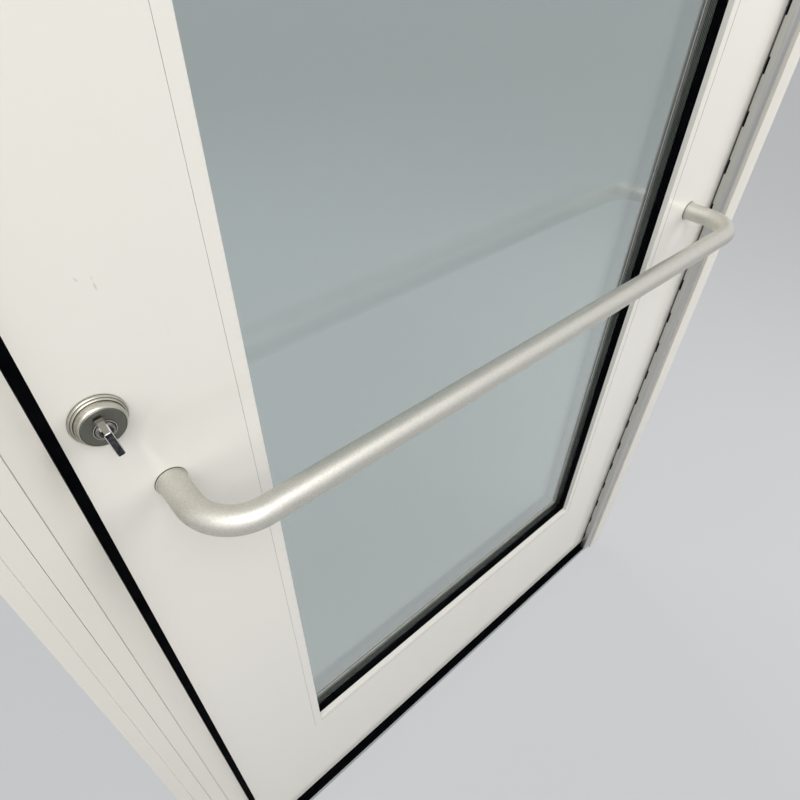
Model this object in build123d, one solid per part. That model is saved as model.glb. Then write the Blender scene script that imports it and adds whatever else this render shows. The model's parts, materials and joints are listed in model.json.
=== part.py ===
from build123d import *
import math
import os

# A glazed aluminium door leaf in its own frame, hung on a full-height geared hinge.
# Millimetres. X runs across the door towards the hinge, Y into the room behind it, Z up.
# The origin is on the floor under the middle of the frame, halfway through its depth.

os.makedirs("parts", exist_ok=True)

# Leaf
leaf_width = 914.4
leaf_height = 2108.0
leaf_thickness = 44.45
leaf_lift = 24.5
lock_stile_face = 123.8
hinge_stile_face = 136.0
top_rail_face = 124.0
bottom_rail_face = 242.5
section_wall = 3.2

# Glazing, from the leaf's face backwards
bead_face = 12.2
bead_gap = 0.3
bead_wall = 1.8
bead_return = 7.2
glass_setback = 17.4
pane_thickness = 6.0
glass_cavity = 12.7
tape_thickness = 0.6
glass_bite = 8.2

# Frame
frame_depth = 114.3
reveal = 19.05
lock_jamb_width = 63.7
hinge_jamb_width = 48.4
head_height = 44.4
lock_gap = 8.2
hinge_gap = 9.0
head_gap = 3.5
frame_wall = 3.0
nose_width = 42.3
cover_width = 27.3
cover_groove = 14.9
line_width = 0.7
line_depth = 1.2
crown_fall = 12.3
crown_bulge = 2.2
cap_swing_room = 11.1
stop_depth = 15.0
stop_width = 16.0
seal_clearance = 0.3

# Sill
sill_height = 7.0
sill_base = 3.0
sill_nose = 2.0
sill_front = 13.0
insert_rib = 1.8

# Geared hinge
hinge_foot = 10.0
cap_width = 17.0
cap_front = 16.5
cap_wall = 1.2
cap_corner = 4.0
axis_setback = 5.2
cap_behind_axis = 1.5
pitch_radius = 3.3
teeth_per_turn = 12
tooth_tip = 0.45
tooth_root = 0.6
tooth_backlash = 0.2
rod_radius = 1.38
rod_clearance = 0.07
web_angle = 25.0
plate_thickness = 3.2
plate_depth = 36.0
bearing_pitch = 65.1
bearing_length = 20.0
bearing_play = 0.35
hinge_screws = 8
hinge_screw_end = 100.0
web_slot = (132.0, 232.0)

# Bar handle
bar_radius = 11.8
bar_wall = 2.0
bar_stand_off = 72.3
bar_bend = 42.3
bar_height = 897.8
bar_first_post = 54.8
bar_last_post = 76.0
ring_radius = 13.2
ring_height = 1.2
handle_bolt_radius = 4.0

# Lock
backset = 26.4
lock_height = 982.3
collar_radius = 19.4
collar_height = 10.2
cylinder_radius = 14.7
cylinder_face = 10.5
spindle_radius = 5.0
plug_drop = 2.0
hub_radius = 7.6
blade_height = 23.4
blade_thickness = 6.5
blade_reach = 28.4
blade_tilt = 7.4
bolt_axis_in = 14.0
bolt_drop = 38.0
bolt_reach = 47.0
bolt_height = 16.0
bolt_thickness = 12.7
case_depth = 25.0
strike_box_wall = 1.2

# Places that follow from the sizes
frame_width = lock_jamb_width + lock_gap + leaf_width + hinge_gap + hinge_jamb_width
left = -frame_width / 2
right = frame_width / 2
front = -frame_depth / 2
back = frame_depth / 2
leaf_left = left + lock_jamb_width + lock_gap
leaf_right = leaf_left + leaf_width
face = front + reveal
leaf_back = face + leaf_thickness
leaf_foot = leaf_lift
leaf_top = leaf_foot + leaf_height
head_foot = leaf_top + head_gap
frame_top = head_foot + head_height
lock_throat = leaf_left - lock_gap
hinge_throat = leaf_right + hinge_gap

glass_left = leaf_left + lock_stile_face
glass_right = leaf_right - hinge_stile_face
glass_foot = leaf_foot + bottom_rail_face
glass_top = leaf_top - top_rail_face

hinge_middle = (leaf_right + hinge_throat) / 2
axis_y = face - axis_setback
door_axis = hinge_middle - pitch_radius
frame_axis = hinge_middle + pitch_radius

lock_x = leaf_left + backset
lock_z = leaf_foot + lock_height
turn_z = lock_z - plug_drop
bolt_x = leaf_left + bolt_axis_in
bolt_z = lock_z - bolt_drop
bolt_sweep = math.hypot(bolt_reach, bolt_height / 2)
case_y = (face + leaf_back) / 2


def save(name, *shapes):
    """Writes one node, of one or more separate solids."""
    shape = shapes[0] if len(shapes) == 1 else Compound(children=list(shapes))
    export_step(shape, f"parts/{name}.step")


def block(x0, x1, y0, y1, z0, z1):
    """A plain block between two corners."""
    return Pos((x0 + x1) / 2, (y0 + y1) / 2, (z0 + z1) / 2) * Box(x1 - x0, y1 - y0, z1 - z0)


def tube(x0, x1, y0, y1, z0, z1, wall, along):
    """A hollow section that is open at both ends."""
    grow = {"x": (1, -wall, -wall), "z": (-wall, -wall, 1)}[along]
    inner = block(x0 - grow[0], x1 + grow[0], y0 - grow[1], y1 + grow[1], z0 - grow[2], z1 + grow[2])
    return block(x0, x1, y0, y1, z0, z1) - inner


def upright(outline, z0, z1):
    """An outline in X and Y, drawn upward."""
    return Pos(0, 0, z0) * extrude(outline, z1 - z0, dir=(0, 0, 1))


def outline(points):
    """A closed face through the points."""
    return make_face(Polyline(*points, close=True))


def ring(x0, x1, z0, z1, width, y0, y1):
    """A rectangular frame of constant width that lies in the plane of the door."""
    return block(x0, x1, y0, y1, z0, z1) - block(
        x0 + width, x1 - width, y0 - 1, y1 + 1, z0 + width, z1 - width
    )


def rod_y(x, z, radius, y0, y1):
    """A round bar through the thickness of the door."""
    return Pos(x, (y0 + y1) / 2, z) * Rot(90, 0, 0) * Cylinder(radius, y1 - y0)


def rod_x(y, z, radius, x0, x1):
    """A round bar across the door."""
    return Pos((x0 + x1) / 2, y, z) * Rot(0, 90, 0) * Cylinder(radius, x1 - x0)


def turned(points, x, z):
    """Radius and height pairs, turned about a line that stands out of the leaf's face."""
    profile = make_face(Polyline(*[(r, h) for r, h in points], close=True))
    return Pos(x, face, z) * Rot(90, 0, 0) * revolve(Rot(90, 0, 0) * profile, Axis.Z)


def arc_points(start, end, bulge, steps):
    """Points on a gently bulging line between two others, both ends included."""
    (x0, y0), (x1, y1) = start, end
    points = []
    for i in range(steps + 1):
        t = i / steps
        out = bulge * 4 * t * (1 - t)
        length = math.hypot(x1 - x0, y1 - y0)
        points.append((x0 + (x1 - x0) * t + out * (y1 - y0) / length,
                       y0 + (y1 - y0) * t - out * (x1 - x0) / length))
    return points


# Frame: jambs
nose_left = left + nose_width
cover_edge = left + cover_width
cover_seat = front + 2.25
anchor_y = face + leaf_thickness + 4.8 + stop_depth / 2
anchor_heights = [250.0 + 600.0 * i for i in range(4)]


def anchor_holes(shape, outer_x, throat_x):
    """Screw holes to the wall in the outer side, and wider ones for the tool in the inner side."""
    step = 1 if throat_x > outer_x else -1
    for z in anchor_heights:
        low, high = sorted((outer_x - step, outer_x + step * (frame_wall + 1)))
        shape -= rod_x(anchor_y, z, 3.5, low, high)
        low, high = sorted((throat_x - step * (frame_wall + 1), throat_x + step))
        shape -= rod_x(anchor_y, z, 5.5, low, high)
    return shape


# A fine groove parts the flat front from the strip that rounds back to the gap beside the leaf.
groove_end = nose_left + line_width
shoulder = (lock_throat, front + crown_fall)
crown_chord = math.hypot(shoulder[0] - groove_end, shoulder[1] - front)
crown_lean = math.atan2(shoulder[1] - front, shoulder[0] - groove_end)
crown_top = (
    (groove_end + shoulder[0]) / 2 + crown_bulge * math.sin(crown_lean),
    (front + shoulder[1]) / 2 - crown_bulge * math.cos(crown_lean),
)
lock_outline = make_face(
    Polyline(shoulder, (lock_throat, back), (left, back), (left, cover_seat), (cover_edge, cover_seat),
             (cover_edge, front), (nose_left, front), (nose_left, front + line_depth),
             (groove_end, front + line_depth), (groove_end, front))
    + ThreePointArc((groove_end, front), crown_top, shoulder)
)
lock_outline = fillet(lock_outline.vertices().sort_by_distance((*shoulder, 0))[0], 0.8)
w = frame_wall
lock_hollow = outline([
    (left + w, cover_seat + w), (nose_left, cover_seat + w), (lock_throat - w, shoulder[1] + w),
    (lock_throat - w, back - w), (left + w, back - w),
])
strike_z0, strike_z1 = bolt_z - bolt_reach + 3.8, bolt_z + bolt_height / 2 + 1.0
strike_half = bolt_thickness / 2 + 0.6
strike_low, strike_high = strike_z0 - 26, strike_z1 + 26
lock_jamb = upright(lock_outline - lock_hollow, 0, frame_top)
lock_jamb -= block(lock_throat - w - 1, lock_throat + 1, case_y - strike_half, case_y + strike_half,
                   strike_z0, strike_z1)
lock_jamb -= block(lock_throat - 1.6, lock_throat + 1, case_y - 15, case_y + 15, strike_low, strike_high)
lock_jamb = anchor_holes(lock_jamb, left, lock_throat)
strike_screw_z = [strike_low + 9, strike_high - 9]
for z in strike_screw_z:
    lock_jamb -= rod_x(case_y, z, 2.5, lock_throat - w - 1, lock_throat)
save("lock_jamb", lock_jamb)

# The cover has a shadow groove along its middle and two legs that snap into the jamb's front.
groove = left + cover_width - cover_groove
cover = outline([
    (left, front), (groove - 0.5, front), (groove, front + 0.5), (groove + 0.5, front),
    (cover_edge - 0.35, front), (cover_edge - 0.35, cover_seat), (left, cover_seat),
])
save("lock_jamb_cover", upright(cover, 0, frame_top))

strike_plate = block(lock_throat - 1.6, lock_throat, case_y - 15, case_y + 15, strike_low, strike_high)
strike_plate -= block(lock_throat - 3, lock_throat + 1, case_y - strike_half, case_y + strike_half,
                      strike_z0, strike_z1)
for z in strike_screw_z:
    strike_plate -= rod_x(case_y, z, 2.5, lock_throat - 3, lock_throat + 1)
save("strike_plate", strike_plate)
save("strike_screws", *[rod_x(case_y, z, 2.5, lock_throat - 12, lock_throat - 0.2) for z in strike_screw_z])

# The box behind the strike catches the bolt and keeps the jamb's hollow shut.
pocket_end = bolt_x - bolt_sweep - 1.6
strike_box = block(pocket_end - strike_box_wall, lock_throat - w, case_y - strike_half - strike_box_wall,
                   case_y + strike_half + strike_box_wall, strike_z0 - strike_box_wall,
                   strike_z1 + strike_box_wall)
strike_box -= block(pocket_end, lock_throat, case_y - strike_half, case_y + strike_half, strike_z0, strike_z1)
save("strike_box", strike_box)

cap_room = frame_axis + cap_swing_room + 1.2
throat_face = face + 1.5
hinge_outline = outline([
    (right, front), (right, back), (hinge_throat, back), (hinge_throat, throat_face),
    (cap_room, throat_face), (cap_room, front),
])
hinge_hollow = outline([
    (right - w, front + w), (right - w, back - w), (hinge_throat + w, back - w),
    (hinge_throat + w, throat_face + w), (cap_room + w, throat_face + w), (cap_room + w, front + w),
])
hinge_screw_step = (leaf_height - 2 * hinge_screw_end) / (hinge_screws - 1)
hinge_screw_z = [leaf_foot + hinge_screw_end + i * hinge_screw_step for i in range(hinge_screws)]
screw_y = face + 24.0
hinge_jamb = anchor_holes(upright(hinge_outline - hinge_hollow, 0, frame_top), right, hinge_throat)
for z in hinge_screw_z:
    hinge_jamb -= rod_x(screw_y, z, 2.5, hinge_throat - 1, hinge_throat + w + 1)
save("hinge_jamb", hinge_jamb)

# Frame: head, which laps in front of the hinge jamb's recessed face
nose_foot = head_foot + 9.0
lap = face - 3.2
head = block(lock_throat, cap_room, front, lap, nose_foot, frame_top)
head += block(lock_throat, hinge_throat, lap, back, head_foot, frame_top)
head -= block(lock_throat - 1, cap_room + 1, front + w, lap + 1, nose_foot + w, frame_top - w)
head -= block(lock_throat - 1, hinge_throat + 1, lap + w, back - w, head_foot + w, frame_top - w)
head -= block(lock_throat + 60, hinge_throat - 60, lap - w, lap + w + 1, nose_foot + w, frame_top - w)
save("head", head)
clip_height = head_foot + w, head_foot + 30.0
save(
    "head_clips",
    block(lock_throat, lock_throat + 40, lap + w + 20, back - w - 20, *clip_height),
    block(hinge_throat - 40, hinge_throat, lap + w + 20, back - w - 20, *clip_height),
)

# Frame: stops behind the leaf and the seals in them
stop_y0 = leaf_back + 4.8
stop_y1 = stop_y0 + stop_depth
stop_foot = sill_height + insert_rib + 0.2


def stop_upright(x0, x1):
    return tube(x0, x1, stop_y0, stop_y1, stop_foot, head_foot, 1.6, "z")


save("door_stop_lock", stop_upright(lock_throat, lock_throat + stop_width))
save("door_stop_hinge", stop_upright(hinge_throat - stop_width, hinge_throat))
save("door_stop_head", tube(lock_throat + stop_width, hinge_throat - stop_width, stop_y0, stop_y1,
                            head_foot - stop_width, head_foot, 1.6, "x"))
seal_y = leaf_back + seal_clearance, stop_y0
save(
    "stop_seals",
    block(lock_throat + 9.0, lock_throat + 14.2, *seal_y, stop_foot, head_foot - 9.5),
    block(hinge_throat - 15, hinge_throat - 9.8, *seal_y, stop_foot, head_foot - 9.5),
    block(lock_throat + 14.2, hinge_throat - 15, *seal_y, head_foot - 15, head_foot - 9.5),
)

# Sill: a shallow tray with a ribbed insert
sill_y0 = face - sill_front
tray = Plane.YZ * make_face(Polyline(
    (sill_y0, 0), (back, 0), (back, sill_height), (back - sill_nose, sill_height),
    (back - sill_nose, sill_base), (sill_y0 + sill_nose, sill_base),
    (sill_y0 + sill_nose, sill_height), (sill_y0 + 1.2, sill_height), (sill_y0, sill_height - 3.5),
    close=True))
save("threshold", Pos(lock_throat, 0, 0) * extrude(tray, hinge_throat - lock_throat, dir=(1, 0, 0)))
rib_points = [(sill_y0 + sill_nose, sill_base)]
rib_count = 13
span = back - sill_nose - (sill_y0 + sill_nose)
for i in range(rib_count):
    start = sill_y0 + sill_nose + i * span / rib_count
    step = span / rib_count
    rib_points += [(start + 0.01, sill_height), (start + step * 0.2, sill_height + insert_rib),
                   (start + step * 0.7, sill_height + insert_rib), (start + step * 0.9, sill_height)]
rib_points.append((back - sill_nose, sill_height))
rib_points.append((back - sill_nose, sill_base))
insert = Plane.YZ * make_face(Polyline(*rib_points, close=True))
save("threshold_insert", Pos(lock_throat, 0, 0) * extrude(insert, hinge_throat - lock_throat, dir=(1, 0, 0)))

# Geared hinge: one toothed sector turns on each rod of the cap
outer_radius = pitch_radius + tooth_tip
root_radius = pitch_radius - tooth_root
bore_radius = rod_radius + rod_clearance
tooth_pitch = 360 / teeth_per_turn
cap_left, cap_right = hinge_middle - cap_width / 2, hinge_middle + cap_width / 2
cap_y0, cap_y1 = face - cap_front, axis_y + cap_behind_axis
bearing_count = int((leaf_height - 30) // bearing_pitch)
bearing_z = [leaf_foot + 33.0 + i * bearing_pitch for i in range(bearing_count)]


def around(centre, radius, degrees):
    angle = math.radians(degrees)
    return centre[0] + radius * math.cos(angle), centre[1] + radius * math.sin(angle)


def tooth(centre, degrees):
    """One stub tooth, thinner than half a pitch by the backlash."""
    half = math.pi * pitch_radius / teeth_per_turn / 2 - tooth_backlash / 2
    corners = []
    flank = ((root_radius - 0.3, half * 1.25), (pitch_radius, half), (outer_radius, half * 0.55))
    for radius, width in flank:
        corners.append((radius, math.degrees(width / radius)))
    points = [around(centre, r, degrees - a) for r, a in corners]
    points += [around(centre, r, degrees + a) for r, a in reversed(corners)]
    return outline(points)


def geared_leaf(axis_x, side, first_tooth):
    """Gear sector, neck and screw plate of one half. side is -1 for the leaf's half, 1 for the frame's."""
    centre = (axis_x, axis_y)
    toward = 0 if side < 0 else 180
    gear = Pos(*centre) * Circle(root_radius)
    for i in range(3):
        gear += tooth(centre, toward + side * (first_tooth + i * tooth_pitch))
    edge = leaf_right if side < 0 else hinge_throat
    plate_x = sorted((edge, edge - side * plate_thickness))
    neck = outline([(plate_x[0], axis_y), (plate_x[1], axis_y),
                    (plate_x[1], face + 1), (plate_x[0], face + 1)])
    gear = gear + neck - Pos(*centre) * Circle(bore_radius)
    slot_turn = (web_slot[1] - web_slot[0]) / 3
    slot = [centre] + [around(centre, 6.0, toward + side * (web_slot[0] + i * slot_turn)) for i in range(4)]
    gear -= outline(slot)
    body = upright(gear, hinge_foot, leaf_top)
    for z in bearing_z:
        body -= block(cap_left, cap_right, cap_y0, face - 1.0,
                      z - bearing_length / 2 - bearing_play, z + bearing_length / 2 + bearing_play)
    body += block(*plate_x, face + 1, face + plate_depth, hinge_foot, leaf_top)
    for z in hinge_screw_z:
        body -= rod_x(screw_y, z, 2.5, plate_x[0] - 1, plate_x[1] + 1)
    return body


save("hinge_door_leaf", geared_leaf(door_axis, -1, 0.0))
save("hinge_frame_leaf", geared_leaf(frame_axis, 1, -tooth_pitch / 2))
save("hinge_door_screws", *[rod_x(screw_y, z, 2.5, leaf_right - 10, leaf_right + plate_thickness - 0.2)
                            for z in hinge_screw_z])
save("hinge_frame_screws", *[rod_x(screw_y, z, 2.5, hinge_throat - plate_thickness + 0.2, hinge_throat + 10)
                             for z in hinge_screw_z])

middle_y = (cap_y0 + cap_y1) / 2
shell = Pos(hinge_middle, middle_y) * Rectangle(cap_width, cap_y1 - cap_y0)
shell = fillet(shell.vertices().group_by(Axis.Y)[0], cap_corner)
shell -= Pos(hinge_middle, middle_y + cap_wall / 2 + 1) * Rectangle(
    cap_width - 2 * cap_wall, cap_y1 - cap_y0 - cap_wall + 2)
for corner in (-1, 1):
    inner = (hinge_middle + corner * (cap_width / 2 - cap_wall), cap_y0 + cap_wall)
    shell += outline([inner, (inner[0] - corner * 2.4, inner[1]), (inner[0], inner[1] + 2.4)])


def rod_and_web(grow):
    """The two rods of the cap and the webs that carry them."""
    rods = Pos(door_axis, axis_y) * Circle(rod_radius + grow)
    rods += Pos(frame_axis, axis_y) * Circle(rod_radius + grow)
    webs = ((door_axis, 180 + web_angle, cap_left), (frame_axis, -web_angle, cap_right))
    for axis_x, direction, wall_x in webs:
        reach = (abs(wall_x - axis_x) - cap_wall / 2) / math.cos(math.radians(web_angle))
        end = around((axis_x, axis_y), reach, direction)
        side = 0.5 + grow
        corners = [around(p, side, direction + s * 90) for p, s in
                   (((axis_x, axis_y), 1), (end, 1), (end, -1), ((axis_x, axis_y), -1))]
        rods += outline(corners)
    return rods


save("hinge_cap", upright(shell + rod_and_web(0), hinge_foot, leaf_top))
bearing = outline([
    (cap_left + cap_wall, axis_y - 4.6), (cap_right - cap_wall, axis_y - 4.6),
    (cap_right - cap_wall, cap_y1), (frame_axis + 1.6, cap_y1), (frame_axis + 1.6, face - 1.6),
    (door_axis - 1.6, face - 1.6), (door_axis - 1.6, cap_y1), (cap_left + cap_wall, cap_y1),
]) - rod_and_web(0.01)
save("hinge_bearings", *[upright(bearing, z - bearing_length / 2, z + bearing_length / 2) for z in bearing_z])

# Leaf: stiles and rails
lip_y0 = leaf_back - (leaf_thickness - glass_setback - 2 * pane_thickness - glass_cavity - tape_thickness)
tie_z = [leaf_foot + bottom_rail_face / 2, leaf_top - top_rail_face / 2]
handle_z = leaf_foot + bar_height
posts = [leaf_left + bar_first_post, leaf_right - bar_last_post]
plate_z0, plate_z1 = bolt_z - 68.0, lock_z + 38.0
plate_half = 12.7


def stile(x0, x1, inner_x, side):
    """A hollow stile with the lip behind the glass on its inner side."""
    body = tube(x0, x1, face, leaf_back, leaf_foot, leaf_top, section_wall, "z")
    lip = sorted((inner_x, inner_x + side * bead_face))
    body += block(*lip, lip_y0, leaf_back, glass_foot, glass_top)
    for z in tie_z:
        low, high = sorted((inner_x - side * (section_wall + 1), inner_x + side))
        body -= rod_x(case_y, z, 5.2, low, high)
    for x in posts:
        body -= rod_y(x, handle_z, handle_bolt_radius + 0.1, face - 1, leaf_back + 1)
    return body


lock_stile = stile(leaf_left, glass_left, glass_left, 1)
lock_stile -= block(leaf_left - 1, leaf_left + section_wall + 0.01, case_y - plate_half - 0.1,
                    case_y + plate_half + 0.1, plate_z0 - 0.1, plate_z1 + 0.1)
lock_stile -= rod_y(lock_x, lock_z, cylinder_radius + 0.1, face - 1, leaf_back + 1)
save("lock_stile", lock_stile)
hinge_stile = stile(glass_right, leaf_right, glass_right, -1)
for z in hinge_screw_z:
    hinge_stile -= rod_x(screw_y, z, 2.5, leaf_right - section_wall - 1, leaf_right + 1)
save("hinge_stile", hinge_stile)


def rail(z0, z1, lip_z0, lip_z1):
    body = tube(glass_left, glass_right, face, leaf_back, z0, z1, section_wall, "x")
    return body + block(glass_left + bead_face, glass_right - bead_face, lip_y0, leaf_back, lip_z0, lip_z1)


save("bottom_rail", rail(leaf_foot, glass_foot, glass_foot - 0.01, glass_foot + bead_face))
save("top_rail", rail(glass_top, leaf_top, glass_top - bead_face, glass_top + 0.01))

corners, nuts = [], []
for z in tie_z:
    for x, side in ((glass_left, 1), (glass_right, -1)):
        low, high = sorted((x, x + side * 45.0))
        inside = section_wall
        corners.append(block(low, high, face + inside, leaf_back - inside, z - 30, z + 30)
                       - rod_x(case_y, z, 5.2, low - 1, high + 1))
        low, high = sorted((x - side * section_wall, x - side * (section_wall + 8)))
        nut = Pos(low, case_y, z) * Rot(0, 90, 0) * extrude(RegularPolygon(9.0, 6), high - low)
        nuts.append(nut - rod_x(case_y, z, 4.75, low - 1, high + 1))
save("corner_blocks", *corners)
save("tie_rods", *[rod_x(case_y, z, 4.75, glass_left - 14, glass_right + 14) for z in tie_z])
save("tie_rod_nuts", *nuts)


# Leaf: glazing. Upright beads run through and level ones butt between them.
def bead_outline(edge_radius=0.8):
    """Bead in its own plane: across the reveal, then away from the leaf's face."""
    body = Rectangle(bead_face - bead_gap, bead_wall, align=(Align.MIN, Align.MIN))
    body = Pos(bead_gap, 0) * body
    body += Pos(bead_face - bead_wall, 0) * Rectangle(bead_wall, bead_return, align=(Align.MIN, Align.MIN))
    body += Pos(bead_gap, 0) * Rectangle(1.6, 12.0, align=(Align.MIN, Align.MIN))
    body += Rectangle(0.5, 2.0, align=(Align.MIN, Align.MIN)).moved(Location((0, 10.0)))
    corner = body.vertices().sort_by_distance((bead_face, 0, 0))[0]
    return fillet(corner, edge_radius)


def bead(start, along, across, away, length):
    """The bead's outline, set out from a point and drawn along a direction."""
    plane = Plane(origin=start, x_dir=across, z_dir=Vector(across).cross(Vector(away)))
    return extrude(plane * bead_outline(), length, dir=along)


save("bead_lock", bead((glass_left, face, glass_foot), (0, 0, 1), (1, 0, 0), (0, 1, 0),
                       glass_top - glass_foot))
save("bead_hinge", bead((glass_right, face, glass_foot), (0, 0, 1), (-1, 0, 0), (0, 1, 0),
                        glass_top - glass_foot))
level = glass_right - glass_left - 2 * bead_face
save("bead_bottom", bead((glass_left + bead_face, face, glass_foot), (1, 0, 0), (0, 0, 1), (0, 1, 0), level))
save("bead_top", bead((glass_left + bead_face, face, glass_top), (1, 0, 0), (0, 0, -1), (0, 1, 0), level))

glass_y0 = face + glass_setback
glass_y1 = glass_y0 + 2 * pane_thickness + glass_cavity
edge = bead_face - glass_bite
pane = (glass_left + edge, glass_right - edge)
pane_z = (glass_foot + edge, glass_top - edge)
save("inner_pane", block(*pane, glass_y0, glass_y0 + pane_thickness, *pane_z))
save("outer_pane", block(*pane, glass_y1 - pane_thickness, glass_y1, *pane_z))
cavity = (glass_y0 + pane_thickness, glass_y1 - pane_thickness)
save("edge_seal", ring(*pane, *pane_z, 1.2, *cavity))
save("spacer_frame", ring(pane[0] + 1.2, pane[1] - 1.2, pane_z[0] + 1.2, pane_z[1] - 1.2,
                          glass_bite - 1.4, *cavity))
seat = bead_face - bead_wall - 4.4
save("glazing_gasket", ring(glass_left + seat, glass_right - seat, glass_foot + seat, glass_top - seat,
                            bead_face - seat, face + bead_return, glass_y0))
save("glazing_tape", ring(*pane, *pane_z, glass_bite - 0.3, glass_y1, lip_y0))
opening = glass_right - glass_left
save("setting_blocks", *[block(x - 50, x + 50, glass_y0, glass_y1, glass_foot, pane_z[0])
                         for x in (glass_left + opening / 4, glass_right - opening / 4)])

strip_y = (face + 3.0, leaf_back - 3.0)
strip = block(leaf_left + 2, leaf_right - 2, *strip_y, leaf_foot - 4, leaf_foot)
for y in (strip_y[0], strip_y[1] - 2.2):
    strip += block(leaf_left + 2, leaf_right - 2, y, y + 2.2, sill_height + insert_rib + 1.4, leaf_foot - 4)
save("bottom_sweep", strip)
save("lock_edge_seal", block(leaf_left - lock_gap + 0.6, leaf_left, face + 2.5, face + 8.0,
                             leaf_foot, leaf_top))

# Bar handle, swept along its bent centre line
bar_y = face - bar_stand_off
foot_y = face - ring_height
bar_path = FilletPolyline((posts[0], foot_y, handle_z), (posts[0], bar_y, handle_z),
                          (posts[1], bar_y, handle_z), (posts[1], foot_y, handle_z), radius=bar_bend)
bar_start = Plane(origin=(posts[0], foot_y, handle_z), z_dir=(0, -1, 0))
bar = sweep(bar_start * Circle(bar_radius), path=bar_path)
bar -= sweep(bar_start * Circle(bar_radius - bar_wall), path=bar_path)
save("bar_handle", bar)
bolt_hole = handle_bolt_radius + 0.1
save("handle_rings", *[rod_y(x, handle_z, ring_radius, foot_y, face)
                       - rod_y(x, handle_z, bolt_hole, foot_y - 1, face + 1) for x in posts])
save("handle_plugs", *[rod_y(x, handle_z, bar_radius - bar_wall, foot_y - 20, foot_y)
                       - rod_y(x, handle_z, handle_bolt_radius, foot_y - 15, foot_y + 1) for x in posts])
save("handle_bolts", *[rod_y(x, handle_z, handle_bolt_radius, foot_y - 15, leaf_back)
                       + rod_y(x, handle_z, 9.0, leaf_back, leaf_back + 2.6) for x in posts])

# Lock: stepped collar, cylinder and thumb turn in front, cylinder behind
collar = ([(cylinder_radius + 0.1, 0.0), (collar_radius, 0.0), (collar_radius, 1.5)]
          + arc_points((collar_radius - 0.3, 1.9), (17.5, 4.3), 0.35, 4)
          + [(16.6, 4.3), (16.6, 6.4)]
          + arc_points((16.6, 6.8), (15.2, collar_height), 0.3, 4)
          + [(cylinder_radius + 0.1, collar_height)])
save("cylinder_collar", turned(collar, lock_x, lock_z))


def to_back(shape):
    """The same piece on the other face of the leaf, turned about the lock's upright middle line."""
    return Pos(lock_x, case_y, 0) * Rot(0, 0, 180) * Pos(-lock_x, -case_y, 0) * shape


save("outside_collar", to_back(turned(collar, lock_x, lock_z)))
cylinder_end = case_y - 2.2
barrel = rod_y(lock_x, lock_z, cylinder_radius, face - cylinder_face, cylinder_end)
barrel = chamfer(barrel.faces().sort_by(Axis.Y)[0].edges(), 0.6)
save("cylinder", barrel - rod_y(lock_x, turn_z, spindle_radius + 0.07, face - 20, leaf_back))
plug = rod_y(lock_x, turn_z, 6.4, face - cylinder_face - 0.6, face - cylinder_face)
key_slot = block(lock_x - 1.1, lock_x + 1.1, face - cylinder_face - 2, face - cylinder_face + 9,
                 turn_z - 4.2, turn_z + 4.2)
save("outside_cylinder", to_back(barrel + plug - key_slot))

hub_y = face - cylinder_face - 0.3
hub = rod_y(lock_x, turn_z, hub_radius, hub_y - 2.7, hub_y)
hub = fillet(hub.faces().sort_by(Axis.Y)[0].edges(), 1.6)
blade_start = 12.0
blade_face = Plane(origin=(lock_x, face - blade_start, turn_z), x_dir=(1, 0, 0), z_dir=(0, -1, 0))
blade_shape = RectangleRounded(blade_thickness, blade_height, 1.4)
blade = extrude(blade_face * blade_shape, blade_reach - blade_start, taper=3.4)
blade = chamfer(blade.faces().sort_by(Axis.Y)[0].edges(), 0.35)
tilt = Pos(lock_x, 0, turn_z) * Rot(0, -blade_tilt, 0) * Pos(-lock_x, 0, -turn_z)
spindle = rod_y(lock_x, turn_z, spindle_radius, hub_y - 0.5, cylinder_end + 0.3)
save("thumb_turn", hub + tilt * blade + spindle)
cam_y = (cylinder_end + 0.3, cylinder_end + 2.3)
cam = rod_y(lock_x, turn_z, 8.5, *cam_y) + block(lock_x - 3, lock_x + 3, *cam_y, turn_z - 13.0, turn_z)
save("turn_cam", cam)

# Lock: case, face plate and the bolt that swings out of the leaf's edge
case_x0 = leaf_left + section_wall
case_y0, case_y1 = case_y - case_depth / 2, case_y + case_depth / 2
case_z0, case_z1 = bolt_z - bolt_reach - 5, lock_z + 20.0
slot_z0, slot_z1 = bolt_z - bolt_sweep - 0.4, bolt_z + bolt_height / 2 + 0.7
slot_half = bolt_thickness / 2 + 0.5
case = block(case_x0, case_x0 + 40, case_y0, case_y1, case_z0, case_z1)
case += block(case_x0, case_x0 + 1.8, case_y0, case_y1, plate_z0, plate_z1)
case -= block(case_x0 + 1.6, case_x0 + 38.4, case_y0 + 1.6, case_y1 - 1.6, case_z0 + 1.6, case_z1 - 1.6)
case -= block(case_x0 - 1, case_x0 + 2, case_y - slot_half, case_y + slot_half, slot_z0, slot_z1)
case -= rod_y(lock_x, lock_z, cylinder_radius + 0.05, face, leaf_back)
plate_screw_z = [plate_z0 + 7, plate_z1 - 7]
for z in plate_screw_z:
    case -= rod_x(case_y, z, 2.5, case_x0 - 1, case_x0 + 3)
pin_ends = (case_y0 + 1.6, case_y1 - 1.6)
save("lock_case", case)
save("bolt_pin", rod_y(bolt_x, bolt_z, 3.0, *pin_ends))
plate = block(leaf_left, leaf_left + section_wall, case_y - plate_half, case_y + plate_half,
              plate_z0, plate_z1)
plate -= block(leaf_left - 1, leaf_left + 4, case_y - slot_half, case_y + slot_half, slot_z0, slot_z1)
for z in plate_screw_z:
    plate -= rod_x(case_y, z, 2.5, leaf_left - 1, leaf_left + 5)
save("lock_faceplate", plate)
save("faceplate_screws", *[rod_x(case_y, z, 2.5, leaf_left + 0.2, case_x0 + 1.8) for z in plate_screw_z])
bolt_half = bolt_height / 2
bolt_y = (case_y - bolt_thickness / 2, case_y + bolt_thickness / 2)
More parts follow.
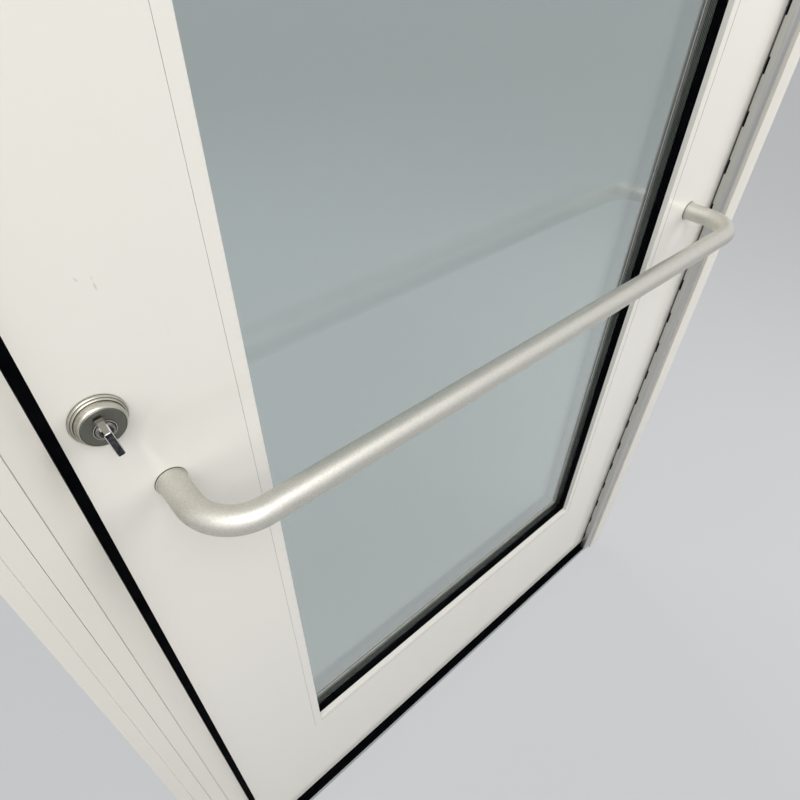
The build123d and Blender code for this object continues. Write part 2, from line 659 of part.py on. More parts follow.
bolt = block(bolt_x - bolt_half, bolt_x + bolt_half, *bolt_y, bolt_z - bolt_reach, bolt_z)
bolt += rod_y(bolt_x, bolt_z, bolt_half, *bolt_y)
save("swing_bolt", bolt - rod_y(bolt_x, bolt_z, 3.07, case_y - 20, case_y + 20))
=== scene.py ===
import json
import math
import bmesh
import bpy
from mathutils import Matrix, Vector


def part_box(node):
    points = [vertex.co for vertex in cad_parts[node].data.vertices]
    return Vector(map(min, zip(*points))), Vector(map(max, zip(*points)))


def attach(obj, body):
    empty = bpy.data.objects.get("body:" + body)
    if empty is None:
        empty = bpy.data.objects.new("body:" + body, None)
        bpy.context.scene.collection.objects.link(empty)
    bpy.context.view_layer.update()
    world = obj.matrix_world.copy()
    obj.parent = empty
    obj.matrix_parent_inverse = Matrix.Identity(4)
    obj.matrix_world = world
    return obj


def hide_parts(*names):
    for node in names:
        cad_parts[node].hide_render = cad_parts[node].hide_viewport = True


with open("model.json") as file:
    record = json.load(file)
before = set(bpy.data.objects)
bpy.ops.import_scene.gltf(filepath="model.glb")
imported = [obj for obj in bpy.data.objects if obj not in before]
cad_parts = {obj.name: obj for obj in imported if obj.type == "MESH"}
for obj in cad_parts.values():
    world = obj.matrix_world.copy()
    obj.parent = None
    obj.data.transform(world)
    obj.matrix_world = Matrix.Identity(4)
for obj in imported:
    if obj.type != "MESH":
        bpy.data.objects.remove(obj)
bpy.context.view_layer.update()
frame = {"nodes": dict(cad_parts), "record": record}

# A glazed aluminium door in its frame, seen from just in front of the lock, looking down and to the right.
# Places are in metres, in the solids' own frame: X across the door towards the hinge, Y through it, Z up.
# Profiles and other small sizes are written in millimetres.

nodes = frame["nodes"]
scene = bpy.context.scene
mm = 0.001

# Places read from the frame
leaf_left, face, leaf_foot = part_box("lock_stile")[0]
back_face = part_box("outside_collar")[0].y
collar_low, collar_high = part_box("cylinder_collar")
lock = Vector(((collar_low.x + collar_high.x) / 2, face, (collar_low.z + collar_high.z) / 2))
lock_behind = Vector((lock.x, back_face, lock.z))
joints = {joint["name"]: joint for joint in frame["record"]["behaviour"]["joints"]}
turn = Vector((lock.x, face, joints["thumb_turn_spin"]["pos_m"][2]))

bar_low, bar_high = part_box("bar_handle")
tube_radius = 11.8 * mm
bend_radius = 42.3 * mm
bar_left = bar_low.x + tube_radius
bar_right = bar_high.x - tube_radius
bar_run = bar_low.y + tube_radius
bar_foot = bar_high.y
bar_z = (bar_low.z + bar_high.z) / 2


# Node helpers
def srgb(r, g, b):
    """Linear colour for a colour seen on screen, 0 to 255."""
    def linear(v):
        v /= 255
        return v / 12.92 if v <= 0.04045 else ((v + 0.055) / 1.055) ** 2.4
    return linear(r), linear(g), linear(b), 1.0


def combine(tree, operation, a, b):
    """The result of one operation on two values, each a number or a socket."""
    made = tree.nodes.new("ShaderNodeMath")
    made.operation = operation
    for value, socket in zip((a, b), made.inputs):
        if isinstance(value, float):
            socket.default_value = value
        else:
            tree.links.new(value, socket)
    return made.outputs[0]


def visible_rays(tree, share):
    """A socket that is share for camera, glossy and glass rays, and 0 for the rays that carry light."""
    rays = tree.nodes.new("ShaderNodeLightPath")
    seen = rays.outputs["Is Camera Ray"]
    for kind in ("Is Glossy Ray", "Is Transmission Ray"):
        seen = combine(tree, "MAXIMUM", seen, rays.outputs[kind])
    return combine(tree, "MULTIPLY", seen, share)


class Look:
    """A node material with short calls for the textures used here."""

    # A Mix node's colour sockets have the names of its other sockets, so they go by number.
    mix_a, mix_b, mix_result = 6, 7, 2

    def __init__(self, name):
        self.material = bpy.data.materials.new(name)
        self.material.use_nodes = True
        self.tree = self.material.node_tree
        self.surface = self.tree.nodes["Principled BSDF"]
        self.place = self.node("ShaderNodeTexCoord").outputs["Object"]
        self.normal = None

    def node(self, kind, **values):
        """A new node; each value is a setting of it, or an input with its spaces as underscores."""
        made = self.tree.nodes.new(kind)
        for key, value in values.items():
            if hasattr(made, key):
                setattr(made, key, value)
            else:
                made.inputs[key.replace("_", " ")].default_value = value
        return made

    def link(self, output, socket):
        self.tree.links.new(output, socket)

    def set(self, **values):
        for key, value in values.items():
            self.surface.inputs[key.replace("_", " ")].default_value = value

    def colour(self, value):
        self.link(value, self.surface.inputs["Base Color"])

    def rough(self, value):
        self.link(value, self.surface.inputs["Roughness"])

    def noise(self, scale, detail=3.0, rough=0.5, stretch=(1, 1, 1)):
        """Noise in the object's metres, stretched per axis."""
        mapped = self.node("ShaderNodeMapping", Scale=stretch)
        self.link(self.place, mapped.inputs["Vector"])
        made = self.node("ShaderNodeTexNoise", Scale=scale, Detail=detail, Roughness=rough)
        self.link(mapped.outputs["Vector"], made.inputs["Vector"])
        return made.outputs["Fac"]

    def spread(self, value, source, target=(0.0, 1.0)):
        """Maps the source range of a value to the target range."""
        made = self.node("ShaderNodeMapRange", From_Min=source[0], From_Max=source[1],
                         To_Min=target[0], To_Max=target[1])
        self.link(value, made.inputs["Value"])
        return made.outputs["Result"]

    def mix(self, factor, a, b):
        """A colour between a and b, each a colour or a socket."""
        made = self.node("ShaderNodeMix", data_type="RGBA")
        self.link(factor, made.inputs["Factor"])
        for value, number in ((a, self.mix_a), (b, self.mix_b)):
            if isinstance(value, tuple):
                made.inputs[number].default_value = value
            else:
                self.link(value, made.inputs[number])
        return made.outputs[self.mix_result]

    def bump(self, height, strength, distance):
        """Adds relief to whatever relief is there already."""
        made = self.node("ShaderNodeBump", Strength=strength, Distance=distance)
        self.link(height, made.inputs["Height"])
        if self.normal:
            self.link(self.normal, made.inputs["Normal"])
        self.normal = made.outputs["Normal"]
        self.link(self.normal, self.surface.inputs["Normal"])

    def scuff(self, centre, length, width, lean, strength):
        """A short smear on the leaf's face, sized in millimetres, broken up by noise and gone at its rim."""
        through = 10.0
        spot = self.node("ShaderNodeMapping", vector_type="TEXTURE", Location=centre,
                         Rotation=(0, math.radians(lean), 0),
                         Scale=(length * mm / 2, through * mm, width * mm / 2))
        self.link(self.place, spot.inputs["Vector"])
        far = self.node("ShaderNodeVectorMath", operation="LENGTH")
        self.link(spot.outputs["Vector"], far.inputs[0])
        whole = self.spread(far.outputs["Value"], (1.0, 0.15), (0.0, strength))
        gaps = self.spread(self.noise(420.0), (0.35, 0.55), (0.35, 1.0))
        return combine(self.tree, "MULTIPLY", whole, gaps)


# Materials: light and dark are a material's two tones, as seen on screen
def powder_coat(name, light, dark, rough, scuffs=()):
    """Satin powder coat: slow drift of tone, fine orange peel, faint rub marks and a few scuffs."""
    rub_tone = srgb(150, 146, 136)
    scuff_tone = srgb(112, 108, 98)
    look = Look(name)
    drift = look.noise(2.3, detail=2.0, stretch=(1, 1, 0.5))
    rubs = look.noise(38.0, detail=6.0, rough=0.62, stretch=(1, 1, 0.35))
    tone = look.mix(look.spread(drift, (0.35, 0.7)), srgb(*light), srgb(*dark))
    tone = look.mix(look.spread(rubs, (0.69, 0.80), (0.0, 0.10)), tone, rub_tone)
    for scuff in scuffs:
        tone = look.mix(look.scuff(*scuff), tone, scuff_tone)
    look.colour(tone)
    look.rough(look.spread(look.noise(16.0), (0.3, 0.7), (rough - 0.035, rough + 0.045)))
    orange_peel = look.noise(950.0, detail=2.0)
    slow_waves = look.noise(7.0, detail=1.0, rough=0.4)
    look.bump(orange_peel, strength=0.08, distance=0.15 * mm)
    look.bump(slow_waves, strength=0.05, distance=1.6 * mm)
    look.set(IOR=1.5)
    return look.material


def satin_metal(name, light, dark, rough, grain, bump, stretch=(1, 1, 1), wear=0.06):
    """Satin metal: its grain shows as relief and as spots, and its gloss is uneven by wear."""
    look = Look(name)
    look.set(Metallic=1.0)
    fine = look.noise(grain, rough=0.6, stretch=stretch)
    patches = look.noise(grain / 20, detail=4.0, rough=0.6, stretch=stretch)
    look.colour(look.mix(look.spread(fine, (0.3, 0.7)), srgb(*light), srgb(*dark)))
    look.rough(look.spread(patches, (0.3, 0.7), (rough - wear, rough + wear)))
    look.bump(fine, bump, distance=0.2 * mm)
    return look.material


def striped_metal(name, dark, light, pitch):
    """Dull metal with rolled lines that run along the piece, one every pitch through the door."""
    look = Look(name)
    look.set(Metallic=1.0)
    lines = look.node("ShaderNodeTexWave", bands_direction="Y", Scale=0.5 / pitch, Distortion=0.3,
                      Detail=2.0)
    look.link(look.place, lines.inputs["Vector"])
    stripes = lines.outputs["Fac"]
    look.colour(look.mix(look.spread(stripes, (0.55, 0.8)), srgb(*dark), srgb(*light)))
    look.rough(look.spread(look.noise(40.0), (0.3, 0.7), (0.40, 0.52)))
    look.bump(stripes, strength=0.3, distance=0.3 * mm)
    return look.material


def rubber(name, dark, rough, shine):
    """Rubber or dull plastic: a slightly lighter bloom in patches, over a fine skin."""
    bloom = 8
    look = Look(name)
    light = [value + bloom for value in dark]
    look.colour(look.mix(look.spread(look.noise(60.0, detail=4.0), (0.3, 0.75)), srgb(*dark), srgb(*light)))
    look.rough(look.spread(look.noise(140.0, detail=2.0), (0.3, 0.7), (rough - 0.08, rough + 0.08)))
    look.bump(look.noise(1300.0, detail=2.0), strength=0.12, distance=0.1 * mm)
    look.set(Specular_IOR_Level=shine)
    return look.material


def tinted_glass(name, tint):
    """Clear glass of a linear tint, with a faint film that dulls it in places."""
    look = Look(name)
    look.set(Transmission_Weight=1.0, IOR=1.5, Base_Color=tint)
    look.rough(look.spread(look.noise(5.0), (0.45, 0.8), (0.0, 0.035)))
    return look.material


def on_leaf(x, z):
    """A place on the leaf's face, in millimetres from its lower left corner."""
    return leaf_left + x * mm, face, leaf_foot + z * mm


# Marks seen on the lock stile: where, length, width, lean in degrees, strength
stile_marks = (
    (on_leaf(45.7, 1079.2), 4.5, 1.6, 65, 0.32),
    (on_leaf(54.2, 1071.8), 8.5, 1.8, 84, 0.32),
    (on_leaf(53.9, 1077.2), 4.0, 1.3, 80, 0.20),
    (on_leaf(5.4, 590.2), 5.0, 1.4, 4, 0.42),
    (on_leaf(12.4, 590.4), 5.0, 1.2, 4, 0.16),
)
leaf_paint = powder_coat("leaf_paint", (227, 224, 217), (222, 219, 211), rough=0.12, scuffs=stile_marks)
frame_paint = powder_coat("frame_paint", (222, 218, 209), (216, 212, 203), rough=0.20)

# Extruded metal has its grain drawn out along its length.
drawn = (1.0, 1.0, 0.03)
drawn_long = (1.0, 1.0, 0.012)
bar_metal = satin_metal("bar_blasted", (226, 224, 216), (200, 198, 190), rough=0.50, grain=1000, bump=0.45)
cap_metal = satin_metal("cap_anodised", (204, 205, 202), (188, 189, 186), rough=0.38, grain=1500, bump=0.14,
                        stretch=drawn_long)
mill_metal = satin_metal("mill_aluminium", (198, 200, 202), (180, 182, 184), rough=0.38, grain=900,
                         bump=0.12, stretch=drawn)
# Painted shade: the hinge leaves, seen only in the gap by the cap, are a dark grey copy of the mill
# aluminium for the shade in that gap.
gear_painted_shade = satin_metal("gear_painted_shade_grey", (120, 121, 120), (104, 105, 104), rough=0.45, grain=900, bump=0.12,
                         stretch=drawn)
spacer_metal = striped_metal("spacer_grey", (76, 76, 73), (190, 190, 182), pitch=3.1 * mm)
# Painted highlight: near white metal for the bright line along the spacer's edge.
spacer_highlight = satin_metal("spacer_highlight", (244, 245, 245), (232, 233, 234), rough=0.30, grain=900, bump=0.05)
steel = satin_metal("steel", (170, 172, 174), (150, 152, 155), rough=0.34, grain=1200, bump=0.12)

lock_metal = satin_metal("lock_satin", (204, 201, 190), (194, 191, 180), rough=0.35, grain=1800, bump=0.04)
# Painted shade: a darker copy of the lock's satin metal for the cylinder faces, standing for their shade and
# dark reflection, and for the collars' foot ring.
lock_face_painted_shade = satin_metal("lock_face_painted_shade", (128, 127, 119), (112, 112, 104), rough=0.44, grain=2000, bump=0.22)
chrome = satin_metal("thumb_chrome", (236, 237, 238), (226, 227, 229), rough=0.08, grain=900, bump=0.03,
                     wear=0.03)
# Painted reflection: a grey and a dark copy of the thumb turn's chrome stand for what its faces mirror, the
# grey one on the upward faces and the hub, the dark one on the blade's sides and the hub's centre.
chrome_painted_grey = satin_metal("thumb_painted_grey", (152, 151, 146), (136, 135, 130), rough=0.12, grain=900, bump=0.03,
                          wear=0.03)
chrome_painted_dark = satin_metal("thumb_painted_dark", (98, 100, 102), (26, 28, 32), rough=0.10, grain=240, bump=0.02,
                          wear=0.03)

black = rubber("black_rubber", (2, 3, 5), rough=0.85, shine=0.03)
black_plastic = rubber("black_plastic", (4, 4, 5), rough=0.7, shine=0.15)
seam_shade = rubber("seam_shade", (86, 84, 78), rough=0.8, shine=0.1)
glass = tinted_glass("glass", (0.82, 0.865, 0.855, 1.0))


def dress_nodes():
    """Gives each solid the material of its slot, or its own where it differs from its slot."""
    by_slot = {
        "frame_paint": frame_paint, "leaf_paint": leaf_paint, "hinge_anodised": cap_metal,
        "mill_aluminium": mill_metal, "bar_aluminium": bar_metal, "lock_satin": lock_metal,
        "thumb_chrome": chrome, "steel": steel, "black_rubber": black, "black_plastic": black_plastic,
        "glass": glass,
    }
    # The hinge leaves and the cylinder faces take darker copies of their metals as painted shade.
    by_node = {
        "spacer_frame": spacer_metal, "hinge_door_leaf": gear_painted_shade, "hinge_frame_leaf": gear_painted_shade,
        "cylinder": lock_face_painted_shade, "outside_cylinder": lock_face_painted_shade,
    }
    for part in frame["record"]["subparts"]:
        name = part["node"]
        mesh = nodes[name].data
        mesh.materials.clear()
        mesh.materials.append(by_node.get(name, by_slot[part["material_slot"]]))


dress_nodes()


# Mesh helpers
def add_piece(name, shape, material, body, replaces=(), smooth=40):
    """Makes a piece of a shape and puts it on its body. Edges under smooth degrees are shaded round."""
    bmesh.ops.recalc_face_normals(shape, faces=shape.faces)
    mesh = bpy.data.meshes.new(name)
    shape.to_mesh(mesh)
    shape.free()
    mesh.materials.append(material)
    for side in mesh.polygons:
        side.use_smooth = True
    mesh.set_sharp_from_angle(angle=math.radians(smooth))
    piece = bpy.data.objects.new(name, mesh)
    scene.collection.objects.link(piece)
    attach(piece, body)
    if replaces:
        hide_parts(*replaces)
    return piece


def soften(piece, width, angle=40):
    """A small bevel, in millimetres, on the edges of a piece that turn by more than an angle in degrees."""
    bevel = piece.modifiers.new("edge", "BEVEL")
    bevel.width = width * mm
    bevel.segments = 2
    bevel.limit_method = "ANGLE"
    bevel.angle_limit = math.radians(angle)
    bevel.harden_normals = True


def skin(shape, rings, closed=False):
    """Joins rings of points into a tube, which is closed to a loop or has flat ends."""
    rows = [[shape.verts.new(point) for point in ring] for ring in rings]
    pairs = list(zip(rows, rows[1:]))
    if closed:
        pairs.append((rows[-1], rows[0]))
    count = len(rows[0])
    for near, far in pairs:
        for i in range(count):
            j = (i + 1) % count
            shape.faces.new((near[i], near[j], far[j], far[i]))
    if not closed:
        shape.faces.new(rows[0][::-1])
        shape.faces.new(rows[-1])


def lathe(shape, centre, profile, side=1, segments=128):
    """Turns radius and height pairs, in millimetres, about the line that stands out of the leaf at centre.
    Side is 1 in front of the leaf and -1 behind it."""
    rings = []
    for step in range(segments):
        angle = 2 * math.pi * step / segments
        across, up = math.cos(angle) * mm, math.sin(angle) * mm
        rings.append([centre + Vector((r * across, -side * h * mm, r * up)) for r, h in profile])
    skin(shape, rings, closed=True)


def band(inner, outer, low, high):
    """The profile of a plain ring."""
    return (inner, low), (outer, low), (outer, high), (inner, high)


def add_block(shape, low, high):
    """A block between two corners."""
    spans = list(zip(low, high))
    corners = [shape.verts.new((x, y, z)) for x in spans[0] for y in spans[1] for z in spans[2]]
    for side in ((0, 1, 3, 2), (4, 6, 7, 5), (0, 4, 5, 1), (2, 3, 7, 6), (0, 2, 6, 4), (1, 5, 7, 3)):
        shape.faces.new([corners[i] for i in side])


# Bar handle
def bar_path():
    """Place, direction and radius along the bar, from the near foot to the far one."""
    out, back = Vector((0, -1, 0)), Vector((0, 1, 0))
    bend_steps = 32
    # Distance and inset, in millimetres: the bevelled foot, and the fine groove after the far bend.
    foot = ((0.0, 0.25), (0.25, 0.0), (0.6, 0.0))
    groove = ((0.15, 0.0), (0.3, 0.14), (0.55, 0.14), (0.7, 0.0), (0.9, 0.0))
    bend_end = bar_run + bend_radius
    for distance, inset in foot:
        yield Vector((bar_left, bar_foot - distance * mm, bar_z)), out, tube_radius - inset * mm
    for end, side in ((bar_left, 1), (bar_right, -1)):
        for step in range(bend_steps + 1):
            turned = step if side > 0 else bend_steps - step
            angle = math.pi / 2 * turned / bend_steps
            x = end + side * bend_radius * (1 - math.cos(angle))
            y = bend_end - bend_radius * math.sin(angle)
            yield Vector((x, y, bar_z)), Vector((math.sin(angle), -side * math.cos(angle), 0)), tube_radius
    for distance, inset in groove:
        yield Vector((bar_right, bend_end + distance * mm, bar_z)), back, tube_radius - inset * mm
    for distance, inset in reversed(foot):
        yield Vector((bar_right, bar_foot - distance * mm, bar_z)), back, tube_radius - inset * mm


def make_bar():
    """The tube along its bent centre line."""
    shape = bmesh.new()
    up = Vector((0, 0, 1))
    sides = 72
    rings = []
    for point, along, radius in bar_path():
        level = along.cross(up)
        angles = [2 * math.pi * step / sides for step in range(sides)]
        rings.append([point + radius * (level * math.cos(a) + up * math.sin(a)) for a in angles])
    skin(shape, rings)
    add_piece("bar", shape, bar_metal, "leaf", ["bar_handle"], smooth=50)


def make_feet():
    """Each foot has a thin flange on a black washer that shows as a line of painted shade under the flange.
    """
    bolt_hole, washer_edge, washer_top = 4.2, 13.1, 0.75
    flange = ((bolt_hole, washer_top), (12.8, washer_top), (12.95, 0.85), (12.95, 1.0), (12.75, 1.15),
              (bolt_hole, 1.2))
    flanges, washer_shade = bmesh.new(), bmesh.new()
    for x in (bar_left, bar_right):
        foot = Vector((x, face, bar_z))
        lathe(flanges, foot, flange)
        lathe(washer_shade, foot, band(bolt_hole, washer_edge, 0.0, washer_top))
    add_piece("flanges", flanges, bar_metal, "leaf", ["handle_rings"])
    add_piece("washer_shade", washer_shade, black_plastic, "leaf")


make_bar()
make_feet()


# Lock
def make_collars():
    """Two stepped bands with a crease at each step, round a barrel with a rounded rim, on both sides."""
    outer_band = ((14.8, 0.9), (19.1, 0.9), (19.3, 1.05), (19.32, 1.3), (19.2, 1.8), (18.95, 2.25),
                  (18.6, 2.55), (18.35, 2.6), (18.12, 2.45))
    inner_band = ((18.05, 2.75), (17.98, 3.2), (17.8, 3.65), (17.5, 3.98), (17.2, 4.12), (16.95, 4.05),
                  (16.75, 3.85))
    barrel = ((16.6, 3.95), (16.6, 6.2), (16.64, 6.6), (16.6, 7.1), (16.45, 7.9), (16.2, 8.7), (15.8, 9.4),
              (15.3, 9.9), (15.05, 10.1), (14.8, 10.15))
    for name, place, side, node in (("collar", lock, 1, "cylinder_collar"),
                                    ("collar_back", lock_behind, -1, "outside_collar")):
        shape = bmesh.new()
        lathe(shape, place, outer_band + inner_band + barrel, side)
        add_piece(name, shape, lock_metal, "leaf", [node])


def make_collar_lines():
    """Painted shade: black lines in the collar's creases and under it, and a darker, duller ring that it
    stands on.
    """
    under_collar = band(16.0, 19.2, 0.0, 0.35)
    outer_crease = band(17.7, 18.3, 2.1, 2.56)
    inner_crease = band(16.3, 17.0, 3.5, 4.0)
    creases = bmesh.new()
    for line in (under_collar, outer_crease, inner_crease):
        lathe(creases, lock, line)
    add_piece("collar_crease_shade", creases, black_plastic, "leaf")
    feet = bmesh.new()
    ring = ((15.0, 0.3), (19.25, 0.3), (19.4, 0.45), (19.4, 0.8), (19.3, 0.95), (15.0, 0.95))
    lathe(feet, lock, ring)
    lathe(feet, lock_behind, ring, side=-1)
    add_piece("collar_foot_shade", feet, lock_face_painted_shade, "leaf")


def make_hub_rings():
    """A bright rim round the thumb turn's hub, and a black ring of painted shade in the groove inside it."""
    rim = ((7.1, 10.8), (7.5, 10.8), (7.6, 10.9), (7.6, 11.3), (7.5, 11.4), (7.1, 11.4))
    shape = bmesh.new()
    lathe(shape, turn, rim, segments=96)
    add_piece("hub_rim", shape, lock_metal, "turn")
    shape = bmesh.new()
    lathe(shape, turn, band(6.0, 7.2, 10.7, 10.9), segments=96)
    add_piece("hub_groove_shade", shape, black_plastic, "turn")


def make_hub():
    """The thumb turn's domed hub in painted grey reflection, with painted dark reflection round its centre,
    and the shaft behind it.
    """
    dark, centre_radius = 1, 4.6 * mm
    # Both profiles are closed rings that stop just short of the axis.
    axis = 0.02
    dome = ((axis, 10.8), (6.5, 10.8), (6.6, 11.0), (6.6, 11.6), (6.45, 12.1), (6.1, 12.55), (5.5, 12.95),
            (4.7, 13.2), (4.4, 13.27), (axis, 13.4))
    shaft = band(axis, 5.0, -22.0, 10.9)
    shape = bmesh.new()
    lathe(shape, turn, dome, segments=96)
    lathe(shape, turn, shaft, segments=48)
    hub = add_piece("hub", shape, chrome_painted_grey, "turn")
    # Painted dark reflection on the faces round the hub's centre.
    hub.data.materials.append(chrome_painted_dark)
    for side in hub.data.polygons:
        if math.hypot(side.center.x - turn.x, side.center.z - turn.z) < centre_radius:
            side.material_index = dark


def cut_rectangle(half_wide, half_high, cut):
    """A rectangle's outline with its four corners cut off at 45 degrees."""
    corner = [(half_wide, half_high - cut), (half_wide - cut, half_high)]
    upper = corner + [(-x, z) for x, z in reversed(corner)]
    return upper + [(-x, -z) for x, z in upper]


def make_blade():
    """The blade tapers outward and has a flat bevel down each long edge and round its end."""
    # Height above the face, half the thickness, half the length and the bevel at the foot, rim and end.
    sections = ((12.0, 3.25, 11.7, 1.0), (27.8, 2.65, 10.95, 0.85), (28.4, 2.2, 10.5, 0.65))
    tilt = Matrix.Rotation(math.radians(-7.4), 4, "Y")
    shape = bmesh.new()
    rings = []
    for height, half_thick, half_long, cut in sections:
        outline = cut_rectangle(half_thick, half_long, cut)
        rings.append([turn + tilt @ Vector((x * mm, -height * mm, z * mm)) for x, z in outline])
    skin(shape, rings)
    blade = add_piece("blade", shape, chrome, "turn", ["thumb_turn"], smooth=30)
    # Painted reflection: dark and grey copies of the chrome, given to the faces by which way they face.
    blade.data.materials.append(chrome_painted_dark)
    blade.data.materials.append(chrome_painted_grey)
    paint_blade_reflections(blade.data)
    soften(blade, 0.12, angle=30)


def paint_blade_reflections(mesh):
    """Painted reflection by the way each face turns: dark sides, grey at the top, the bottom and the end's
    upper bevel, and bright bevels elsewhere.
    """
    dark, grey = 1, 2
    large = 40 * mm * mm
    upright, slanted = 0.5, 0.3
    for side in mesh.polygons:
        if side.area > large:
            side.material_index = grey if abs(side.normal.z) > upright else dark
        elif side.normal.y < -slanted and side.normal.z > slanted:
            side.material_index = grey


make_collars()
make_collar_lines()
make_hub_rings()
make_hub()
make_blade()


# Thin lines in the hinge and round the glass
def heights_of(name):
    """The lowest and highest point of each separate solid of a node that repeats upward, to 0.1 mm."""
    apart, digits = 30 * mm, 4
    levels = sorted({round(corner.co.z, digits) for corner in nodes[name].data.vertices})
    groups = [[levels[0], levels[0]]]
    for level in levels[1:]:
        if level - groups[-1][1] > apart:
            groups.append([level, level])
        groups[-1][1] = level
    return groups


def make_bearing_ends():
    """The hinge's thrust blocks show as dark dashes at the cap's edge."""
    proud, inset, deep = 0.06 * mm, 0.1 * mm, 1.7 * mm
    cap_low, cap_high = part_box("hinge_cap")
    shape = bmesh.new()
    for bottom, top in heights_of("hinge_bearings"):
        low = cap_low.x - proud, cap_high.y - deep, bottom
        high = cap_low.x + inset, cap_high.y, top
        add_block(shape, low, high)
    add_piece("bearing_ends", shape, black_plastic, "cap")


def make_bead_seams():
    """The seam beside each bead shows as a thin dark strip of painted shade laid over it. On the lock side
    the gap in the solids is enough.
    """
    proud, deep = 0.02 * mm, 0.3 * mm
    # How far a line laps over its bead, and how far it runs past the bead's edge
    upright_lap, upright_past = 0.1 * mm, 0.45 * mm
    level_lap, level_past = 0.05 * mm, 0.32 * mm
    upright_low, upright_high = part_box("bead_hinge")
    bottom_low, bottom_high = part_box("bead_bottom")
    top_low, top_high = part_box("bead_top")
    shape = bmesh.new()
    for left, right, bottom, top in (
        (upright_high.x - upright_lap, upright_high.x + upright_past, upright_low.z, upright_high.z),
        (bottom_low.x, bottom_high.x, bottom_low.z - level_past, bottom_low.z + level_lap),
        (top_low.x, top_high.x, top_high.z - level_lap, top_high.z + level_past),
    ):
        add_block(shape, (left, face - proud, bottom), (right, face + deep, top))
    add_piece("bead_seam_shade", shape, seam_shade, "leaf")


def make_spacer_highlights():
    """The spacer's bare edge along the far pane shows as a bright line, drawn as a near white strip of
    painted highlight.
    """
    spacer_width, half_thick = 6.8 * mm, 0.05 * mm
    deep, pane_gap = 0.9 * mm, 0.02 * mm
    low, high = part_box("spacer_frame")
    front, rear = high.y - deep, high.y - pane_gap
    left, right = low.x + spacer_width, high.x - spacer_width
    bottom, top = low.z + spacer_width, high.z - spacer_width
    shape = bmesh.new()
    for x in (left, right):
        add_block(shape, (x - half_thick, front, bottom), (x + half_thick, rear, top))
    for z in (bottom, top):
        add_block(shape, (left, front, z - half_thick), (right, rear, z + half_thick))
    add_piece("spacer_highlights", shape, spacer_highlight, "leaf")


make_bearing_ends()
make_bead_seams()
make_spacer_highlights()

extrusions = ("lock_stile", "hinge_stile", "top_rail", "bottom_rail", "lock_jamb", "hinge_jamb", "head",
              "lock_jamb_cover", "threshold")
for name in extrusions:
    soften(nodes[name], 0.45)


# Stage, light and camera
def make_floor():
    """A pale floor just under the door. Where it is seen, some of its tone is its own even glow."""
    half_side, below, glow = 14, 0.6 * mm, 0.6
    look = Look("floor")
    blotch = look.spread(look.noise(3.0), (0.3, 0.7))
    look.colour(look.mix(blotch, srgb(200, 201, 202), srgb(194, 195, 196)))
    look.set(Roughness=0.75)
    even = look.node("ShaderNodeEmission", Strength=1.0, Color=srgb(203, 204, 206))
    layers = look.node("ShaderNodeMixShader")
    look.link(visible_rays(look.tree, glow), layers.inputs["Fac"])
    look.link(look.surface.outputs["BSDF"], layers.inputs[1])
    look.link(even.outputs["Emission"], layers.inputs[2])
    look.link(layers.outputs[0], look.tree.nodes["Material Output"].inputs["Surface"])
    shape = bmesh.new()
    bmesh.ops.create_grid(shape, x_segments=1, y_segments=1, size=1.0)
    mesh = bpy.data.meshes.new("floor")
    shape.to_mesh(mesh)
    shape.free()
    mesh.materials.append(look.material)
    floor = bpy.data.objects.new("floor", mesh)
    floor.scale = (half_side, half_side, 1)
    floor.location = (0, 0, -below)
    scene.collection.objects.link(floor)


def make_world():
    """The world lights the object softly; camera, glossy and glass rays see a pale background instead."""
    world = bpy.data.worlds.new("studio")
    world.use_nodes = True
    scene.world = world
    tree = world.node_tree
    light = tree.nodes["Background"]
    light.inputs["Color"].default_value = (0.80, 0.82, 0.84, 1)
    light.inputs["Strength"].default_value = 0.42
    seen = tree.nodes.new("ShaderNodeBackground")
    seen.inputs["Color"].default_value = (0.86, 0.865, 0.87, 1)
    seen.inputs["Strength"].default_value = 1.0
    pick = tree.nodes.new("ShaderNodeMixShader")
    tree.links.new(visible_rays(tree, 1.0), pick.inputs["Fac"])
    tree.links.new(light.outputs[0], pick.inputs[1])
    tree.links.new(seen.outputs[0], pick.inputs[2])
    tree.links.new(pick.outputs[0], tree.nodes["World Output"].inputs["Surface"])


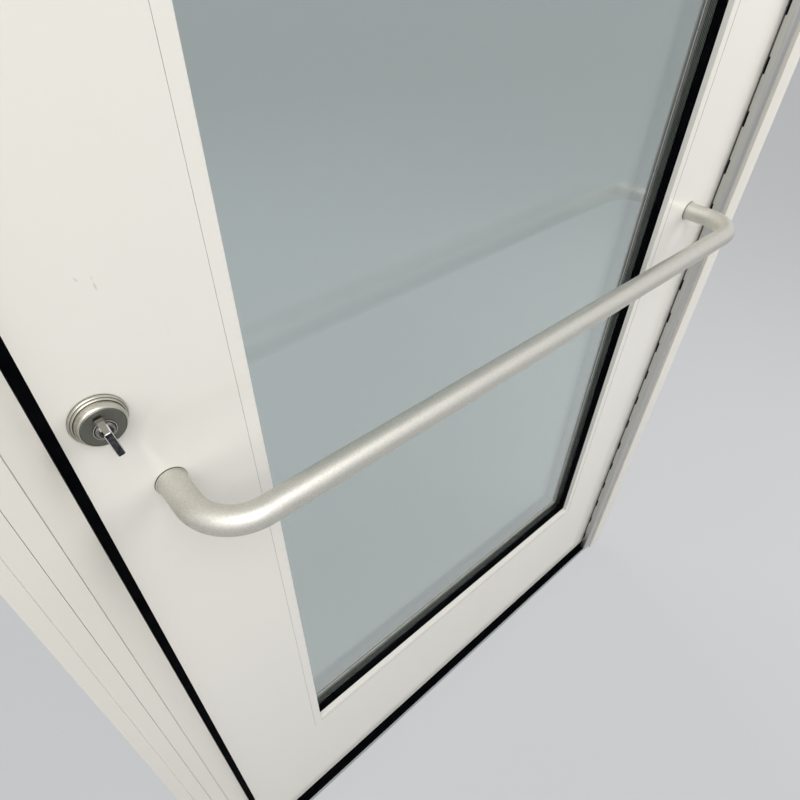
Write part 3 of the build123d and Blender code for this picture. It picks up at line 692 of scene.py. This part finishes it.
def add_lamp(name, place, aim, size, watts, tint, mirrored=False):
    """An area lamp that isn't seen through the glass. Metal and glass show it only when it is mirrored."""
    light = bpy.data.lights.new(name, "AREA")
    light.shape = "RECTANGLE"
    light.size, light.size_y = size
    light.energy = watts
    light.color = tint
    lamp = bpy.data.objects.new(name, light)
    lamp.location = place
    lamp.rotation_euler = (Vector(aim) - Vector(place)).to_track_quat("-Z", "Y").to_euler()
    lamp.visible_transmission = False
    lamp.visible_glossy = mirrored
    scene.collection.objects.link(lamp)


def add_camera():
    """The photograph's camera, worked out from the door's straight edges."""
    lens, sensor_width, nearest = 26.10, 36.0, 10 * mm
    yaw, pitch, roll = (math.radians(angle) for angle in (41.382, 42.089, -1.021))
    left_of_leaf, before_face, height = 5.0 * mm, 336.2 * mm, 1.275
    camera = bpy.data.cameras.new("camera")
    camera.lens = lens
    camera.sensor_width = sensor_width
    camera.clip_start = nearest
    view = bpy.data.objects.new("camera", camera)
    scene.collection.objects.link(view)
    place = Matrix.Translation((leaf_left - left_of_leaf, face - before_face, height))
    to_the_right = Matrix.Rotation(-yaw, 4, "Z")
    downward = Matrix.Rotation(math.pi / 2 - pitch, 4, "X")
    rolled = Matrix.Rotation(-roll, 4, "Z")
    view.matrix_world = place @ to_the_right @ downward @ rolled
    scene.camera = view


make_floor()
make_world()
add_lamp("ceiling", place=(-0.9, -1.5, 2.9), aim=(0.0, 0.0, 0.9), size=(2.2, 1.7), watts=47,
         tint=(1.0, 0.985, 0.965), mirrored=True)
add_lamp("right", place=(1.5, -1.0, 1.7), aim=(0.45, 0.0, 1.0), size=(1.2, 1.8), watts=22,
         tint=(1.0, 0.995, 0.985))
add_lamp("left", place=(-1.9, -0.9, 1.9), aim=(0.3, 0.0, 0.8), size=(1.0, 1.4), watts=11,
         tint=(0.98, 0.99, 1.0))
add_lamp("behind", place=(0.4, 2.4, 2.6), aim=(0.0, 0.2, 0.6), size=(2.0, 1.4), watts=30,
         tint=(0.97, 0.985, 1.0))
add_camera()
scene.view_settings.view_transform = "Standard"
